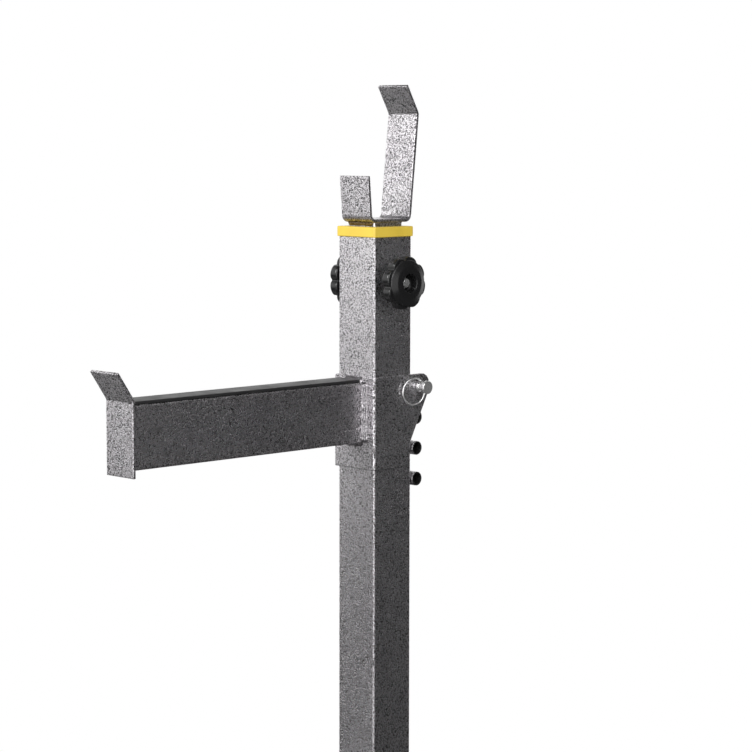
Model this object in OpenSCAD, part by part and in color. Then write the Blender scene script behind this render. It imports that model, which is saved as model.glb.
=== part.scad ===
// Squat stand: one free-standing stand of an independent pair.
// The upright is a square tube on a bolted base. A smaller post slides in it and carries the saddle.
// A spotter arm slides on the outside and is held by a pull pin through one of the peg tubes.
// +X runs along the saddle's trough, -Y points to the lifter, +Z is up. The origin is the middle of the footprint.

/* [Base] */
// Length of the base from front to back
base_len = 700; // [640:10:900]
// Length of each cross foot tube
foot_len = 450; // [380:10:600]
// Width of the square tube of the base
base_tube = 50; // [48:1:60]
// Wall of the base tube
base_wall = 3; // [2:0.5:4]
// Outer corner radius of the square tubes
tube_corner = 2; // [1.5:0.5:4]
// Distance that the upright stands behind the middle of the base
upright_back = 100; // [60:5:150]
// Height of the rubber feet
pad_h = 12; // [10:1:20]
// Diameter of the rubber feet
pad_d = 44; // [30:1:46]
// Distance from a cross foot's end to the middle of its rubber foot
pad_inset = 35; // [25:1:60]
// Thickness of the end caps' flanges
cap_t = 4; // [2:0.5:6]

/* [Foot plates] */
// Side of the two square plates that join the upright to the base
plate_side = 140; // [130:2:160]
// Thickness of each plate
plate_t = 6; // [4:1:10]
// Distance between the plate bolts
bolt_spacing = 100; // [90:1:106]
// Thickness of the gusset plates
gusset_t = 5; // [3:0.5:8]
// Height of the gusset plates
gusset_h = 70; // [50:1:100]
// Length that the gusset plates run out from the upright
gusset_run = 40; // [30:1:44]

/* [Upright] */
// Height of the top of the upright tube above the floor
upright_top = 1050; // [950:10:1300]
// Width of the square upright tube
upright_w = 51; // [49:0.5:56]
// Wall of the upright tube
upright_wall = 3; // [2:0.25:3.5]
// Side of the top bushing's flange
bushing_side = 54; // [52:0.5:60]
// Height of the top bushing's flange
bushing_h = 10; // [6:0.5:14]
// Length of the top bushing's skirt inside the tube
skirt_len = 26; // [15:1:32]

/* [Peg tubes] */
// Depth of the highest peg tube and of the pull pin below the top of the upright
pin_drop = 150; // [140:1:200]
// Distance between neighbouring peg tubes
peg_pitch = 31; // [28:0.5:40]
// Outer diameter of the peg tubes
peg_d = 14; // [12.5:0.5:15]
// Bore of the peg tubes
peg_bore = 10; // [9.8:0.1:11]
// Distance from the upright's back face to the peg tubes' middle
peg_back = 8.5; // [8.5:0.5:12]

/* [Sliding post] */
// Width of the square sliding post
post_w = 38; // [34:0.5:40]
// Wall of the sliding post
post_wall = 2.5; // [1.5:0.25:3.5]
// Distance between the height holes of the post
hole_pitch = 75; // [60:1:80]
// Number of height holes in the post
hole_count = 7; // [3:1:8]
// Length of the post below its lowest height hole
post_tail = 110; // [80:5:150]

/* [Saddle] */
// Thickness of the saddle plate
saddle_t = 3.5; // [2.5:0.5:5]
// Width of the saddle's strip
saddle_w = 40; // [38:0.5:46]
// Gap inside the saddle, between the lip and the back
saddle_gap = 49; // [40:1:60]
// Height of the front lip above the underside of the saddle
lip_h = 45.5; // [35:0.5:60]
// Lean of the front lip towards the lifter in degrees
lip_lean = 4.5; // [0:0.5:15]
// Height of the tall back plate up to its bend
back_h = 107; // [80:1:150]
// Lean of the back plate in degrees
back_lean = 6; // [0:0.5:15]
// Length of the bent tip of the back plate
tip_len = 32; // [15:1:50]
// Lean of the bent tip over the saddle in degrees from upright
tip_lean = 29.5; // [10:0.5:45]
// Inside radius of the bends
bend_r = 4; // [2:0.5:6]
// Distance from the post's middle to the front of the saddle
saddle_front = 26; // [24:0.5:32]
// Gap left between the top bushing and the saddle in the lowest position
saddle_lift = 4; // [3.5:0.5:12]

/* [Height lock] */
// Depth of the lock bolt below the top of the upright
bolt_drop = 44.5; // [42:0.5:60]
// Diameter of the lock bolt and of the plate bolts
bolt_d = 10; // [8:0.5:11]
// Diameter of the star knobs over their lobes
knob_d = 54; // [48:1:60]
// Diameter of the star knobs in the valleys between the lobes
knob_valley_d = 45; // [42:1:47]
// Number of lobes of a star knob
knob_lobes = 8; // [6:1:9]
// Depth of a star knob from its washer to its crown
knob_depth = 21.5; // [18:0.5:28]
// Depth of the lobed rim of a star knob
rim_depth = 10; // [8:0.5:12]
// Depth of the knob on the lock bolt, which has no hub behind its rim
bolt_knob_depth = 15; // [14:0.5:28]
// Diameter of the recess in the middle of the nut knob
recess_d = 18.5; // [17:0.5:20]
// Depth of that recess
recess_depth = 9; // [6:0.5:11]

/* [Spotter] */
// Wall of the bracket that slides on the upright
bracket_wall = 2.5; // [2:0.25:4]
// Gap between the bracket and the upright on each side
bracket_gap = 0.6; // [0.4:0.1:1.2]
// Height of the bracket
bracket_h = 92; // [84:1:110]
// Height of the bracket's top above the pull pin
bracket_above = 13; // [12:0.5:20]
// Distance from the pull pin to the back edge of the bracket's ears
ear_reach = 14; // [11:0.5:18]
// Length of the spotter arm's tube
arm_len = 290; // [200:5:360]
// Width of the spotter arm's tube
arm_w = 30; // [24:1:38]
// Height of the spotter arm's tube
arm_h = 60; // [50:1:62]
// Wall of the spotter arm's tube
arm_wall = 2.5; // [1.5:0.25:4]
// Depth of the arm's top below the top of the bracket
arm_below = 5; // [3.5:0.5:8]
// Thickness of the liner on top of the arm
liner_t = 3; // [1.5:0.5:4]
// Thickness of the end plate
end_t = 3; // [2:0.5:5]
// Width of the end plate
end_w = 39; // [39:1:50]
// Distance that the end plate hangs below the arm
end_below = 6.5; // [0:0.5:15]
// Length of the end plate's bent tip
end_tip = 33; // [15:1:50]
// Lean of the end plate's tip away from the upright in degrees
end_lean = 34.5; // [10:0.5:50]

/* [Pull pin] */
// Diameter of the pull pin
pin_d = 9.4; // [8:0.1:9.4]
// Length of the pull pin's tip past the bracket
pin_tip = 9; // [8:0.5:15]
// Diameter of the pull pin's head
head_d = 13.5; // [11:0.5:14]
// Outer diameter of the pull ring
ring_d = 28.2; // [26:0.1:32]
// Diameter of the pull ring's wire
ring_wire = 1.8; // [1.4:0.1:2.2]
// Angle that the pull ring leans towards the bracket in degrees
ring_rest = 10; // [6:1:10]
// Turn of the pull pin that lets its ring hang low, in degrees
ring_hang = 18; // [0:1:30]

/* [Hidden] */

$fn = 48;
paint = [0.40, 0.40, 0.42];
seam_paint = [0.52, 0.51, 0.52];
zinc = [0.72, 0.73, 0.74];
black = [0.06, 0.06, 0.07];
yellow = [0.93, 0.80, 0.24];

over = 1;              // how far a cut runs past the faces that it opens
bend_steps = 10;       // flats that make up each bend of a plate
bead = 5;              // leg of the weld beads on the tubes
small_bead = 4;        // leg of the weld beads on thin plate
rest_gap = 0.3;        // gap between pieces that turn or slide on each other
slide_gap = 0.4;       // gap round the post in its plastic guides
hole_gap = 0.5;        // gap round a bolt in its hole
thread_gap = 0.05;     // gap between a bolt and its nut
plug_gap = 0.2;        // gap round a plug in its tube

// Square tubes
base_top = pad_h + base_tube;
base_mid = pad_h + base_tube / 2;
base_hole = base_tube - 2 * base_wall;
runner_len = base_len - 2 * base_tube;
foot_y = (base_len - base_tube) / 2;
upright_bottom = base_top + 2 * plate_t;
upright_face = upright_w / 2;
upright_hole = upright_w - 2 * upright_wall;
cap_plug = 18;

// Plate fasteners
washer_t = 2;
washer_d = 2.1 * bolt_d;
bolt_hole_d = bolt_d + 2 * hole_gap;
nut_d = 1.96 * bolt_d;
nut_h = 0.84 * bolt_d;
head_h = 0.64 * bolt_d;
thread_end = 2.5;
screw_d = 6;
screw_head_d = 14;
screw_head_h = 3.5;
screw_len = 15;

// Height lock
bolt_z = upright_top - bolt_drop;
post_top = upright_top + bushing_h + saddle_lift;
post_bottom = bolt_z - (hole_count - 1) * hole_pitch - post_tail;
washer_x = upright_face + rest_gap;
knob_x = washer_x + washer_t + rest_gap;
knob_hub_d = 27;
insert_d = 17;
insert_h = 8;
stud_grip = 12;
stud_end = knob_x + knob_depth - recess_depth + 4;

// Peg tubes and pull pin
pin_y = upright_face + peg_back;
pin_z = upright_top - pin_drop;
peg_len = upright_w + 2 * bracket_gap - 2 * slide_gap;

// Spotter
bracket_in = upright_face + bracket_gap;
bracket_out = bracket_in + bracket_wall;
bracket_top = pin_z + bracket_above;
bracket_bottom = bracket_top - bracket_h;
ear_back = pin_y + ear_reach;
ear_round = ear_reach - 4;
ear_low = pin_z - 4;
ear_foot = pin_z - 57;
side_back = upright_face - 5;
arm_top = bracket_top - arm_below;
arm_end = bracket_out + arm_len;
liner_start = bracket_out + bead + 1;

// Pull pin, counted from the bracket's outer face
collar_d = 11;
collar_t = 3;
neck_d = 8.8;
head_x = 9.5;
head_t = 3;
ring_x = 6.6;
ring_r = (ring_d - ring_wire) / 2;
ring_sag = ring_r - sqrt(pow(ring_r, 2) - pow(neck_d / 2, 2));
ring_hole_d = ring_wire + ring_sag + 2 * rest_gap;
ball_d = 4;
ball_proud = 0.15;
ball_x = bracket_out + pin_tip / 2;
spring_wire = 0.5;
spring_h = 2.4;

// A square outline with round corners
module rounded_square(w, d, r) {
    square([w - 2 * r, d], center = true);
    square([w, d - 2 * r], center = true);
    for (x = [-1, 1], y = [-1, 1])
        translate([x * (w / 2 - r), y * (d / 2 - r)])
            circle(r, $fn = 24);
}

// The wall of a rectangular tube seen from its end
module tube_wall(w, d, wall) {
    difference() {
        rounded_square(w, d, tube_corner);
        rounded_square(w - 2 * wall, d - 2 * wall, max(tube_corner - wall, 0.5));
    }
}

// Moves a piece from the upright's own axis to its place on the base
module on_upright(z = 0) {
    translate([0, upright_back, z])
        children();
}

// A piece and its mirror image on the other side of X = 0
module both_sides() {
    children();
    mirror([1, 0, 0])
        children();
}

// Turns an outline drawn in Y and Z into a plate centred on X
module across(width) {
    rotate([90, 0, 90])
        translate([0, 0, -width / 2])
            linear_extrude(width)
                children();
}

// A length of fillet weld along +X, its right angle on the origin, filling towards +Y and +Z
module bead_bar(length, leg) {
    across(length)
        polygon([[0, 0], [leg, 0], [0, leg]]);
}

// Places a copy on each of the four plate bolts
module at_bolts(z) {
    for (x = [-1, 1], y = [-1, 1])
        translate([x * bolt_spacing / 2, upright_back + y * bolt_spacing / 2, z])
            children();
}

// Places a copy over each rubber foot
module at_pads(z) {
    for (x = [-1, 1], y = [-1, 1])
        translate([x * (foot_len / 2 - pad_inset), y * foot_y, z])
            children();
}

// A round solid along +X, from x = 0
module rod_x(d, length) {
    rotate([0, 90, 0])
        cylinder(d = d, h = length);
}

// Sharp-corner length that a bend takes from each of the legs beside it
function bend_cut(turn, r, t) = (r + t) * tan(turn / 2);

// Unit vector at an angle
function heading(angle) = [cos(angle), sin(angle)];

// Points along a strip at a distance off from its right side, from its first bend to its far end
function strip_side(legs, t, r, off, i = 0, from = [0, 0], angle = 0, used = 0) =
    let (
        turn = legs[i][1],
        cut = bend_cut(turn, r, t),
        bend_start = from + (legs[i][0] - used - cut) * heading(angle),
        centre = bend_start + (r + t) * heading(angle + 90)
    )
    i + 1 == len(legs) ? [bend_start + off * heading(angle + 90)] : concat(
        [for (k = [0:bend_steps]) centre + (r + t - off) * heading(angle - 90 + turn * k / bend_steps)],
        strip_side(legs, t, r, off, i + 1, centre + (r + t) * heading(angle + turn - 90), angle + turn, cut)
    );

// A strip of plate that starts along +X and bends to the left; legs holds [sharp length, turn after it]
module bent_strip(legs, t, r) {
    right = strip_side(legs, t, r, 0);
    left = strip_side(legs, t, r, t);
    last = len(left) - 1;
    polygon(concat([[0, 0]], right, [for (i = [0:last]) left[last - i]], [[0, t]]));
}

module foot_tube() {
    rotate([90, 0, 90])
        translate([0, 0, -foot_len / 2])
            linear_extrude(foot_len)
                tube_wall(base_tube, base_tube, base_wall);
}

module foot_with_holes(side) {
    difference() {
        translate([0, side * foot_y, base_mid])
            foot_tube();
        at_pads(pad_h - over)
            cylinder(d = screw_d + 2 * hole_gap, h = base_wall + 2 * over);
    }
}

module foot_caps(side) {
    both_sides()
        translate([foot_len / 2, side * foot_y, base_mid])
            rotate([90, 0, 90]) {
                linear_extrude(cap_t)
                    rounded_square(base_tube, base_tube, tube_corner);
                translate([0, 0, -cap_plug])
                    linear_extrude(cap_plug)
                        square(base_hole - 2 * plug_gap - 1, center = true);
            }
}

module base_runner() {
    color(paint)
        translate([0, runner_len / 2, base_mid])
            rotate([90, 0, 0])
                linear_extrude(runner_len)
                    tube_wall(base_tube, base_tube, base_wall);
}

module front_foot() {
    color(paint)
        foot_with_holes(-1);
}

module rear_foot() {
    color(paint)
        foot_with_holes(1);
}

module joining_plate(z) {
    difference() {
        on_upright(z)
            linear_extrude(plate_t)
                rounded_square(plate_side, plate_side, 8);
        at_bolts(z - over)
            cylinder(d = bolt_hole_d, h = plate_t + 2 * over);
    }
}

module base_plate() {
    color(paint)
        joining_plate(base_top);
}

module base_welds() {
    color(seam_paint) {
        // Upright beads beside the runner, where it meets each cross foot
        for (y = [-1, 1])
            both_sides()
                translate([base_tube / 2, y * runner_len / 2, pad_h + tube_corner])
                    linear_extrude(base_tube - 2 * tube_corner)
                        polygon([[0, 0], [bead, 0], [0, -y * bead]]);
        // Long beads under the plate, on both sides of the runner
        both_sides()
            translate([base_tube / 2, upright_back + plate_side / 2 - 10, base_top])
                rotate([90, 0, 0])
                    linear_extrude(plate_side - 20)
                        polygon([[0, 0], [bead, 0], [0, -bead]]);
    }
}

module front_foot_caps() {
    color(black)
        foot_caps(-1);
}

module rear_foot_caps() {
    color(black)
        foot_caps(1);
}

module rubber_feet() {
    color(black)
        at_pads(0)
            difference() {
                union() {
                    cylinder(d1 = pad_d - 4, d2 = pad_d, h = 2);
                    translate([0, 0, 2])
                        cylinder(d = pad_d, h = pad_h - 2);
                }
                translate([0, 0, -over])
                    cylinder(d = screw_head_d + 2, h = over + screw_head_h + 2);
                cylinder(d = screw_d + 2 * hole_gap, h = pad_h + over);
            }
}

module foot_screws() {
    color(zinc)
        at_pads(2)
            union() {
                cylinder(d = screw_head_d, h = screw_head_h);
                cylinder(d = screw_d, h = screw_head_h + screw_len);
            }
}

module foot_plate() {
    color(paint)
        joining_plate(base_top + plate_t);
}

module gussets() {
    color(paint)
        for (turn = [0:90:270])
            on_upright(upright_bottom)
                rotate(turn)
                    translate([0, upright_face, 0])
                        across(gusset_t)
                            polygon([
                                [bead + 1, 0],
                                [gusset_run, 0],
                                [gusset_run, 8],
                                [8, gusset_h],
                                [0, gusset_h],
                                [0, bead + 1],
                            ]);
}

module plate_bolts() {
    color(zinc)
        at_bolts(upright_bottom + washer_t) {
            cylinder(d = nut_d, h = head_h, $fn = 6);
            translate([0, 0, -2 * washer_t - 2 * plate_t - nut_h - thread_end])
                cylinder(d = bolt_d, h = 2 * washer_t + 2 * plate_t + nut_h + thread_end + 1);
        }
}

module plate_washers() {
    color(zinc)
        for (z = [upright_bottom, base_top - washer_t])
            at_bolts(z)
                difference() {
                    cylinder(d = washer_d, h = washer_t);
                    translate([0, 0, -over])
                        cylinder(d = bolt_hole_d, h = washer_t + 2 * over);
                }
}

module plate_nuts() {
    color(zinc)
        at_bolts(base_top - washer_t - nut_h)
            difference() {
                cylinder(d = nut_d, h = nut_h, $fn = 6);
                translate([0, 0, -over])
                    cylinder(d = bolt_d + 2 * thread_gap, h = nut_h + 2 * over);
            }
}

module upright_tube() {
    color(paint)
        on_upright()
            difference() {
                translate([0, 0, upright_bottom])
                    linear_extrude(upright_top - upright_bottom)
                        tube_wall(upright_w, upright_w, upright_wall);
                translate([-upright_face - over, 0, bolt_z])
                    rod_x(bolt_hole_d, upright_w + 2 * over);
            }
}

module upright_welds() {
    color(seam_paint)
        for (turn = [0:90:270], side = [-1, 1])
            on_upright(upright_bottom)
                rotate(turn)
                    translate([side * (upright_w + gusset_t) / 4, upright_face, 0])
                        bead_bar((upright_w - gusset_t) / 2 - tube_corner, bead);
}

module peg_tube(i) {
    color(paint)
        on_upright(pin_z - (i - 1) * peg_pitch)
            translate([-peg_len / 2, pin_y, 0])
                difference() {
                    rod_x(peg_d, peg_len);
                    translate([-over, 0, 0])
                        rod_x(peg_bore, peg_len + 2 * over);
                }
}

module peg_tube_1() { peg_tube(1); }
module peg_tube_2() { peg_tube(2); }
module peg_tube_3() { peg_tube(3); }
module peg_tube_4() { peg_tube(4); }

module peg_welds() {
    color(seam_paint)
        for (i = [0:3])
            on_upright(pin_z - i * peg_pitch)
                across(peg_len - 2 * bead)
                    difference() {
                        polygon([
                            [upright_face, -peg_d / 2 - 1],
                            [pin_y - peg_d / 4, -peg_d / 3],
                            [pin_y - peg_d / 4, peg_d / 3],
                            [upright_face, peg_d / 2 + 1],
                        ]);
                        translate([pin_y, 0])
                            circle(d = peg_d);
                    }
}

module top_bushing() {
    color(yellow)
        on_upright(upright_top)
            difference() {
                union() {
                    linear_extrude(bushing_h)
                        rounded_square(bushing_side, bushing_side, 2);
                    translate([0, 0, -skirt_len])
                        linear_extrude(skirt_len)
                            square(upright_hole - 2 * plug_gap - 1, center = true);
                }
                translate([0, 0, -skirt_len - over])
                    linear_extrude(skirt_len + bushing_h + 2 * over)
                        square(post_w + 2 * slide_gap, center = true);
            }
}

module sliding_post() {
    color(paint)
        on_upright()
            difference() {
                translate([0, 0, post_bottom])
                    linear_extrude(post_top - post_bottom)
                        tube_wall(post_w, post_w, post_wall);
                for (i = [0:hole_count - 1])
                    translate([-post_w / 2 - over, 0, bolt_z - i * hole_pitch])
                        rod_x(bolt_hole_d, post_w + 2 * over);
            }
}

module post_guide() {
    color(black)
        on_upright(post_bottom) {
            translate([0, 0, -8])
                linear_extrude(8)
                    rounded_square(upright_hole - 2 * slide_gap, upright_hole - 2 * slide_gap, 2);
            linear_extrude(16)
                square(post_w - 2 * post_wall - 2 * plug_gap - 1, center = true);
        }
}

module saddle() {
    color(paint)
        on_upright(post_top)
            across(saddle_w)
                translate([-saddle_front, 0])
                    translate([-lip_h * tan(lip_lean), lip_h])
                        rotate(lip_lean - 90)
                            bent_strip([
                                [lip_h / cos(lip_lean), 90 - lip_lean],
                                [saddle_gap + 2 * saddle_t, 90 - back_lean],
                                [back_h / cos(back_lean), back_lean + tip_lean],
                                [tip_len, 0],
                            ], saddle_t, bend_r);
}

module saddle_welds() {
    color(seam_paint)
        on_upright(post_top)
            for (turn = [0, 180])
                rotate(turn)
                    translate([0, -post_w / 2, 0])
                        rotate([180, 0, 0])
                            bead_bar(post_w - 2 * tube_corner, small_bead);
}

module knob_washer() {
    translate([washer_x, 0, 0])
        difference() {
            rod_x(washer_d, washer_t);
            translate([-over, 0, 0])
                rod_x(bolt_hole_d, washer_t + 2 * over);
        }
}

// Outline of a star knob's lobes
module star(turn) {
    lobe_r = 0.3 * knob_d / 2;
    circle(d = knob_valley_d);
    for (i = [0:knob_lobes - 1])
        rotate((i + 0.5) * 360 / knob_lobes + turn)
            translate([knob_d / 2 - lobe_r, 0])
                circle(lobe_r);
}

// A star knob along +X: a round hub, then the lobed rim under a low crown
module star_knob(depth, turn) {
    rim_x = depth - rim_depth - 4;
    translate([knob_x, 0, 0])
        rotate([0, 90, 0]) {
            cylinder(d = knob_hub_d, h = rim_x + 1);
            intersection() {
                linear_extrude(depth)
                    star(turn);
                rotate_extrude()
                    polygon([
                        [0, rim_x],
                        [knob_d / 2 - 2, rim_x],
                        [knob_d / 2, rim_x + 2],
                        [knob_d / 2, rim_x + rim_depth - 3],
                        [knob_d / 2 - 1.5, rim_x + rim_depth - 0.5],
                        [knob_d / 2 - 5, depth - 2.4],
                        [knob_d / 2 - 11, depth - 0.8],
                        [recess_d / 2, depth],
                        [0, depth],
                    ]);
            }
        }
}

module bolt_washer() {
    color(zinc)
        on_upright(bolt_z)
            mirror([1, 0, 0])
                knob_washer();
}

module lock_bolt() {
    color(zinc)
        on_upright(bolt_z)
            translate([-knob_x - stud_grip, 0, 0])
                rod_x(bolt_d, knob_x + stud_grip + stud_end);
}

module bolt_knob() {
    color(black)
        on_upright(bolt_z)
            difference() {
                mirror([1, 0, 0])
                    star_knob(bolt_knob_depth, 0);
                translate([-knob_x - stud_grip, 0, 0])
                    rod_x(bolt_d, stud_grip + over);
            }
}

module nut_washer() {
    color(zinc)
        on_upright(bolt_z)
            knob_washer();
}

// Body of the nut knob's metal insert, also its pocket
module insert_body() {
    translate([knob_x + knob_depth - recess_depth - insert_h, 0, 0])
        rotate([0, 90, 0])
            cylinder(d = insert_d, h = insert_h, $fn = 6);
}

module nut_knob() {
    color(black)
        on_upright(bolt_z)
            difference() {
                star_knob(knob_depth, 8);
                insert_body();
                translate([knob_x + knob_depth - recess_depth, 0, 0])
                    rod_x(recess_d, recess_depth + over);
                translate([knob_x - over, 0, 0])
                    rod_x(bolt_hole_d, knob_depth);
            }
}

module nut_insert() {
    color(zinc)
        on_upright(bolt_z)
            difference() {
                insert_body();
                translate([knob_x - over, 0, 0])
                    rod_x(bolt_d + 2 * thread_gap, knob_depth);
            }
}

// Side outline of the bracket's two ears, behind the upright's axis
module ear_outline() {
    polygon([
        [0, bracket_top],
        [ear_back - ear_round, bracket_top],
        [ear_back, bracket_top - ear_round],
        [ear_back, ear_low],
        [side_back, ear_foot],
        [0, ear_foot],
    ]);
    translate([ear_back - ear_round, bracket_top - ear_round])
        circle(ear_round);
}

module spotter_bracket() {
    color(paint)
        on_upright()
            difference() {
                union() {
                    translate([0, 0, bracket_bottom])
                        linear_extrude(bracket_h)
                            intersection() {
                                rounded_square(2 * bracket_out, 2 * bracket_out, tube_corner);
                                translate([-2 * bracket_out, -2 * bracket_out])
                                    square([4 * bracket_out, 2 * bracket_out + side_back]);
                            }
                    across(2 * bracket_out)
                        ear_outline();
                }
                translate([-bracket_in, -bracket_in, bracket_bottom - over])
                    cube([2 * bracket_in, bracket_in + ear_back + over, bracket_h + 2 * over]);
                translate([-bracket_out - over, pin_y, pin_z])
                    rod_x(peg_bore, 2 * bracket_out + 2 * over);
            }
}

module arm_tube() {
    color(paint)
        on_upright(arm_top - arm_h / 2)
            translate([0, -bracket_out, 0])
                rotate([90, 0, 0])
                    linear_extrude(arm_len)
                        tube_wall(arm_w, arm_h, arm_wall);
}

module arm_liner() {
    color(black)
        on_upright(arm_top)
            translate([-arm_w / 2, -arm_end, 0])
                cube([arm_w, arm_end - liner_start, liner_t]);
}

module end_plate() {
    rise = arm_h + end_below + liner_t + 1;
    color(paint)
        on_upright(arm_top - arm_h - end_below)
            across(end_w)
                translate([-arm_end, 0])
                    rotate(90)
                        bent_strip([[rise, end_lean], [end_tip, 0]], end_t, bend_r);
}

module arm_welds() {
    side_bead = arm_h - 2 * tube_corner;
    color(seam_paint)
        on_upright()
            translate([0, -bracket_out, arm_top - arm_h / 2]) {
                both_sides()
                    translate([arm_w / 2, 0, -side_bead / 2])
                        linear_extrude(side_bead)
                            polygon([[0, 0], [bead, 0], [0, -bead]]);
                translate([0, 0, -arm_h / 2])
                    rotate([180, 0, 0])
                        bead_bar(arm_w - 2 * tube_corner, bead);
            }
}

module end_welds() {
    side_bead = arm_h - 2 * tube_corner;
    color(seam_paint)
        on_upright()
            translate([0, -arm_end, arm_top - arm_h / 2])
                both_sides()
                    translate([arm_w / 2, 0, -side_bead / 2])
                        linear_extrude(side_bead)
                            polygon([[0, 0], [small_bead, 0], [0, small_bead]]);
}

// The hole in the pin's tip that holds the ball and its spring
module detent_bore(d) {
    translate([-ball_x, 0, -pin_d / 4])
        cylinder(d = d, h = pin_d);
}

module pull_pin() {
    color(zinc)
        on_upright(pin_z)
            translate([0, pin_y, 0])
                difference() {
                    union() {
                        translate([-bracket_out - pin_tip + 1, 0, 0])
                            rod_x(pin_d, 2 * bracket_out + pin_tip + rest_gap);
                        translate([-bracket_out - pin_tip, 0, 0])
                            rotate([0, 90, 0])
                                cylinder(d1 = pin_d - 2, d2 = pin_d, h = 1);
                        translate([bracket_out + rest_gap, 0, 0])
                            rod_x(collar_d, collar_t);
                        translate([bracket_out + collar_t, 0, 0])
                            rod_x(neck_d, head_x - collar_t + 1);
                        translate([bracket_out + head_x, 0, 0])
                            rod_x(head_d, head_t - 0.6);
                        translate([bracket_out + head_x + head_t - 0.6, 0, 0])
                            rotate([0, 90, 0])
                                cylinder(d1 = head_d, d2 = head_d - 1.2, h = 0.6);
                    }
                    translate([bracket_out + ring_x, 0, 0])
                        rotate([ring_hang, 0, 0])
                            translate([0, 0, -head_d])
                                cylinder(d = ring_hole_d, h = 2 * head_d);
                    detent_bore(ball_d + 2 * thread_gap);
                }
}

module detent_ball() {
    color(zinc)
        on_upright(pin_z)
            translate([-ball_x, pin_y, (pin_d - ball_d) / 2 + ball_proud])
                sphere(d = ball_d);
}

module detent_spring() {
    color(zinc)
        on_upright(pin_z)
            translate([-ball_x, pin_y, -pin_d / 4])
                difference() {
                    cylinder(d = ball_d - spring_wire, h = spring_h);
                    translate([0, 0, -over])
                        cylinder(d = ball_d - 3 * spring_wire, h = spring_h + 2 * over);
                }
}

module pull_ring() {
    color(zinc)
        on_upright(pin_z)
            translate([bracket_out + ring_x, pin_y, 0])
                rotate([ring_hang, 0, 0])
                    rotate(-ring_rest)
                        translate([0, -ring_r + ring_sag / 2, 0])
                            rotate([0, 90, 0])
                                rotate_extrude()
                                    translate([ring_r, 0])
                                        circle(d = ring_wire);
}

base_runner();
front_foot();
rear_foot();
base_plate();
base_welds();
front_foot_caps();
rear_foot_caps();
rubber_feet();
foot_screws();
foot_plate();
gussets();
plate_bolts();
plate_washers();
plate_nuts();
upright_tube();
upright_welds();
peg_tube_1();
peg_tube_2();
peg_tube_3();
peg_tube_4();
peg_welds();
top_bushing();
sliding_post();
post_guide();
saddle();
saddle_welds();
bolt_washer();
lock_bolt();
bolt_knob();
nut_washer();
nut_knob();
nut_insert();
spotter_bracket();
arm_tube();
arm_liner();
end_plate();
arm_welds();
end_welds();
pull_pin();
detent_ball();
detent_spring();
pull_ring();
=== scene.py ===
import math

import bmesh
import bpy
import numpy as np
from mathutils import Matrix


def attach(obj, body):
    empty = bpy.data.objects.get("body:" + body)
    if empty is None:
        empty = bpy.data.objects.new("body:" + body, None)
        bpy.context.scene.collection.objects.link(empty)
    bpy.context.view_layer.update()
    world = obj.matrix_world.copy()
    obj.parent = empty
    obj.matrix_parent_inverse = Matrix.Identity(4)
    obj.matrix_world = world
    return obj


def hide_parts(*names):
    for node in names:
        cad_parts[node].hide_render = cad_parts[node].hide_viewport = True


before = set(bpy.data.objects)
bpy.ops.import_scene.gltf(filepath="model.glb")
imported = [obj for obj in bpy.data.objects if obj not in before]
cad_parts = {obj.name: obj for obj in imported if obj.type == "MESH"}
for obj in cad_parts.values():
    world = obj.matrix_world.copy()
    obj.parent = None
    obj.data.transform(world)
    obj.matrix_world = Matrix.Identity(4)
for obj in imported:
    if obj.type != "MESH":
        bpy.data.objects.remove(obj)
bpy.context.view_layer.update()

# The camera stands in front of the stand, to the ring's side of the arm, a little above the saddle.
# It looks down by six degrees through a long lens, so the tube's edges stay nearly upright.
look_turn, look_tilt, look_roll = 0.7987, 0.1034, 0.0020
camera_place = (1.70267, -1.55635, 1.15727)
focal_pixels, picture_pixels, film_width = 2400.0, 752.0, 36.0
ahead = np.array([-math.sin(look_turn) * math.cos(look_tilt),
                  math.cos(look_turn) * math.cos(look_tilt), -math.sin(look_tilt)])
aside = np.array([math.cos(look_turn), math.sin(look_turn), 0.0])
above = np.cross(aside, ahead)
right = aside * math.cos(look_roll) + above * math.sin(look_roll)
upward = above * math.cos(look_roll) - aside * math.sin(look_roll)
lens = bpy.data.cameras.new("camera")
lens.sensor_width = film_width
lens.lens = focal_pixels / picture_pixels * film_width
camera = bpy.data.objects.new("camera", lens)
bpy.context.scene.collection.objects.link(camera)
camera.matrix_world = Matrix([(right[k], upward[k], -ahead[k], camera_place[k]) for k in range(3)]
                             + [(0.0, 0.0, 0.0, 1.0)])
bpy.context.scene.camera = camera
bpy.context.scene.view_settings.view_transform = "Standard"


# The studio: a white room seen by the camera and by shiny surfaces, and a dimmer grey one for all other
# light. Two soft boxes hang in front of the stand, one on each side of the camera, and a third, smaller one
# stands between them, level with the arm: it draws the bright line along each upright corner.
def linked(tree, kind, settings=(), **inputs):
    """A node of the kind, with its settings made and its inputs set: another node's output is linked in, and
    anything else becomes the socket's own value. An input goes by its name, or by its place as i0, i1 and so
    on."""
    node = tree.nodes.new(kind)
    for key, value in dict(settings).items():
        setattr(node, key, value)
    for key, value in inputs.items():
        by_place = key[0] == "i" and key[1:].isdigit()
        socket = node.inputs[int(key[1:]) if by_place else key.replace("_", " ")]
        if isinstance(value, bpy.types.NodeSocket):
            tree.links.new(value, socket)
        else:
            socket.default_value = value
    return node


def reckon(tree, operation, first, second=0.0):
    """The result of one sum on one or two values."""
    return linked(tree, "ShaderNodeMath", {"operation": operation}, i0=first, i1=second).outputs[0]


def ramp(tree, value, low, high, at_low, at_high, kind="LINEAR"):
    """Runs from at_low to at_high while the value runs from low to high, and stays level outside them."""
    node = linked(tree, "ShaderNodeMapRange", {"interpolation_type": kind}, Value=value,
                  From_Min=low, From_Max=high, To_Min=at_low, To_Max=at_high)
    return node.outputs["Result"]


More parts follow.
